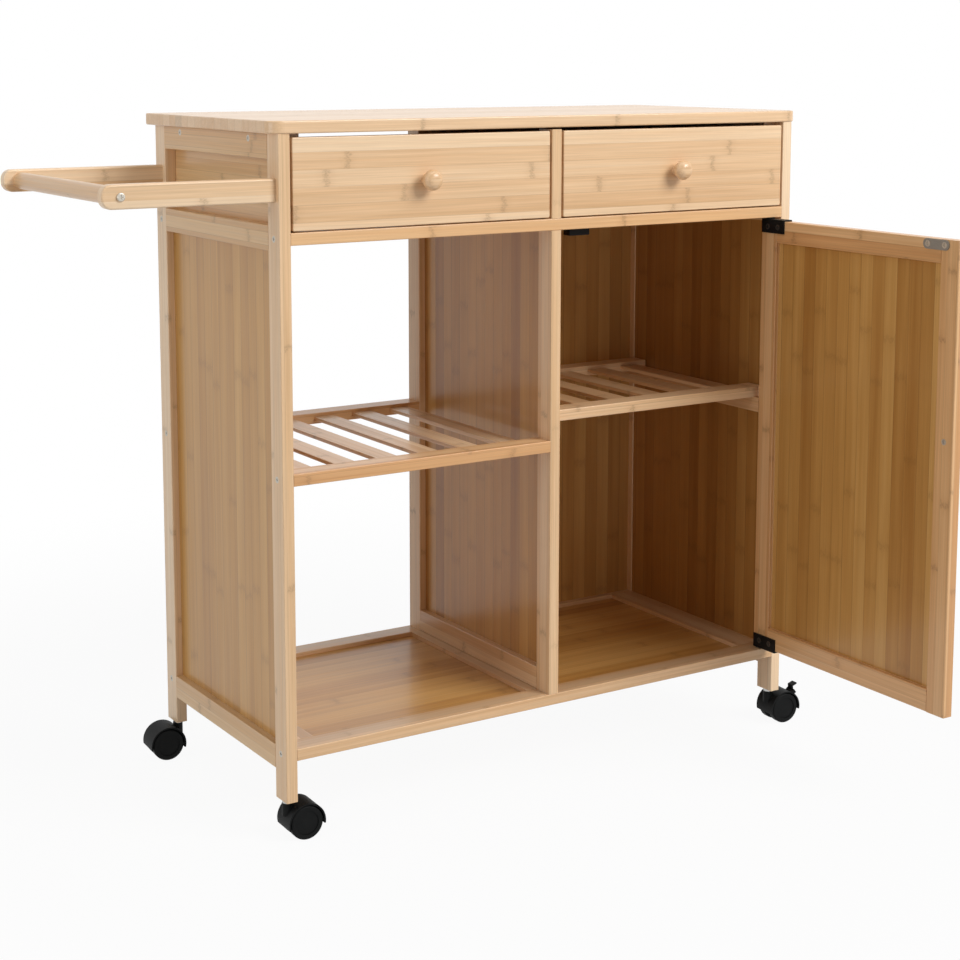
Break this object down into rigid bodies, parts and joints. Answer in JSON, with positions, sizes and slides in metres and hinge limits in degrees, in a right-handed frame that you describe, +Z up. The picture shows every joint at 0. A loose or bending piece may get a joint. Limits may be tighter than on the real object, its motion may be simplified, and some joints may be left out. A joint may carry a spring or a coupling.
{
  "type": "kitchen trolley",
  "caption": "Bamboo kitchen trolley on casters with a worktop, drawers, an open shelf bay, a cabinet with a panelled door and a towel rail at one end.",
  "frame": {"origin": "On the floor, under the middle of the frame between the four legs.", "axes": "+X to the right seen from the front, away from the towel rail; +Y to the back; +Z up."},
  "size_m": [1.0329, 0.713, 0.87],
  "materials": {
    "bamboo_top": "satin lacquered bamboo, strips along the width",
    "bamboo_frame": "satin lacquered bamboo, upright grain",
    "bamboo_rails": "satin lacquered bamboo, grain along the width",
    "bamboo_depth_rails": "satin lacquered bamboo, grain along the depth",
    "bamboo_panel": "satin lacquered bamboo strips, upright grain",
    "bamboo_floor": "satin lacquered bamboo strips, grain along the width",
    "bamboo_drawer_front": "satin lacquered bamboo, grain along the width",
    "bamboo_drawer_box": "satin lacquered bamboo, plain",
    "bamboo_knob": "satin lacquered turned wood",
    "screw_steel": "plated steel",
    "plate_steel": "plated steel",
    "stem_steel": "zinc plated steel",
    "hinge_black": "matt black painted steel",
    "fitting_plastic": "matt black moulded plastic",
    "hood_plastic": "black moulded plastic",
    "wheel_plastic": "black moulded nylon",
    "lever_plastic": "black moulded plastic"
  },
  "bodies": {
    "carcass": {"worktop": "bamboo_top", "leg_front_left": "bamboo_frame", "leg_front_right": "bamboo_frame", "leg_rear_left": "bamboo_frame", "leg_rear_right": "bamboo_frame", "left_end_rails": "bamboo_depth_rails", "right_end_rails": "bamboo_depth_rails", "left_end_panel": "bamboo_panel", "right_end_panel": "bamboo_panel", "floor_long_rails": "bamboo_rails", "floor_cross_rails": "bamboo_depth_rails", "floor_panels": "bamboo_floor", "drawer_rails": "bamboo_rails", "partition_front_post": "bamboo_frame", "partition_rear_post": "bamboo_frame", "partition_bottom_rail": "bamboo_depth_rails", "partition_panel": "bamboo_panel", "upper_posts": "bamboo_frame", "drawer_side_boards": "bamboo_depth_rails", "worktop_cleats": "bamboo_depth_rails", "drawer_runners": "bamboo_depth_rails", "rear_top_rail": "bamboo_rails", "back_panels": "bamboo_panel", "left_shelf_rails": "bamboo_rails", "left_shelf_slats": "bamboo_depth_rails", "right_shelf_rails": "bamboo_rails", "right_shelf_slats": "bamboo_depth_rails", "right_shelf_cleats": "bamboo_depth_rails", "towel_arms": "bamboo_rails", "towel_bar": "bamboo_depth_rails", "frame_screws": "screw_steel", "magnetic_catch": "fitting_plastic", "pivot_bushes": "fitting_plastic", "caster_stems": "stem_steel"},
    "door": {"door_hinge_stile": "bamboo_frame", "door_free_stile": "bamboo_frame", "door_rails": "bamboo_depth_rails", "door_panel": "bamboo_panel", "door_knob": "bamboo_knob", "strike_plate": "plate_steel", "pivot_brackets": "hinge_black", "door_screws": "screw_steel"},
    "left_drawer": {"left_drawer_front": "bamboo_drawer_front", "left_drawer_box": "bamboo_drawer_box", "left_drawer_knob": "bamboo_knob", "left_drawer_knob_screw": "screw_steel"},
    "right_drawer": {"right_drawer_front": "bamboo_drawer_front", "right_drawer_box": "bamboo_drawer_box", "right_drawer_knob": "bamboo_knob", "right_drawer_knob_screw": "screw_steel"},
    "caster_front_left": {"caster_hood_front_left": "hood_plastic"},
    "wheels_front_left": {"caster_wheels_front_left": "wheel_plastic"},
    "caster_front_right": {"caster_hood_front_right": "hood_plastic"},
    "wheels_front_right": {"caster_wheels_front_right": "wheel_plastic"},
    "brake_front_right": {"brake_lever_front_right": "lever_plastic"},
    "caster_rear_left": {"caster_hood_rear_left": "hood_plastic"},
    "wheels_rear_left": {"caster_wheels_rear_left": "wheel_plastic"},
    "caster_rear_right": {"caster_hood_rear_right": "hood_plastic"},
    "wheels_rear_right": {"caster_wheels_rear_right": "wheel_plastic"},
    "brake_rear_right": {"brake_lever_rear_right": "lever_plastic"}
  },
  "joints": [
    {"name": "door_hinge", "type": "hinge", "parent": "carcass", "child": "door", "pos_m": [0.3625, -0.1725, 0.421], "axis": [0, 0, 1], "range_deg": [-90, 25]},
    {"name": "left_drawer_slide", "type": "slide", "parent": "carcass", "child": "left_drawer", "axis": [0, -1, 0], "range_m": [0, 0.22]},
    {"name": "right_drawer_slide", "type": "slide", "parent": "carcass", "child": "right_drawer", "axis": [0, -1, 0], "range_m": [0, 0.22]},
    {"name": "caster_front_left_swivel", "type": "hinge", "parent": "carcass", "child": "caster_front_left", "pos_m": [-0.3825, -0.165, 0.044], "axis": [0, 0, 1], "continuous": true},
    {"name": "wheels_front_left_spin", "type": "hinge", "parent": "caster_front_left", "child": "wheels_front_left", "pos_m": [-0.36351, -0.16566, 0.0215], "axis": [0.0349, 0.9994, 0], "continuous": true},
    {"name": "caster_front_right_swivel", "type": "hinge", "parent": "carcass", "child": "caster_front_right", "pos_m": [0.3825, -0.165, 0.044], "axis": [0, 0, 1], "continuous": true},
    {"name": "wheels_front_right_spin", "type": "hinge", "parent": "caster_front_right", "child": "wheels_front_right", "pos_m": [0.40145, -0.16633, 0.0215], "axis": [0.0698, 0.9976, 0], "continuous": true},
    {"name": "brake_front_right_lever", "type": "hinge", "parent": "caster_front_right", "child": "brake_front_right", "pos_m": [0.42354, -0.16787, 0.0388], "axis": [0.0698, 0.9976, 0], "range_deg": [0, 25]},
    {"name": "caster_rear_left_swivel", "type": "hinge", "parent": "carcass", "child": "caster_rear_left", "pos_m": [-0.3825, 0.165, 0.044], "axis": [0, 0, 1], "continuous": true},
    {"name": "wheels_rear_left_spin", "type": "hinge", "parent": "caster_rear_left", "child": "wheels_rear_left", "pos_m": [-0.40145, 0.16633, 0.0215], "axis": [-0.0698, -0.9976, 0], "continuous": true},
    {"name": "caster_rear_right_swivel", "type": "hinge", "parent": "carcass", "child": "caster_rear_right", "pos_m": [0.3825, 0.165, 0.044], "axis": [0, 0, 1], "continuous": true},
    {"name": "wheels_rear_right_spin", "type": "hinge", "parent": "caster_rear_right", "child": "wheels_rear_right", "pos_m": [0.3635, 0.165, 0.0215], "axis": [0, -1, 0], "continuous": true},
    {"name": "brake_rear_right_lever", "type": "hinge", "parent": "caster_rear_right", "child": "brake_rear_right", "pos_m": [0.34136, 0.165, 0.0388], "axis": [0, -1, 0], "range_deg": [0, 25]}
  ]
}
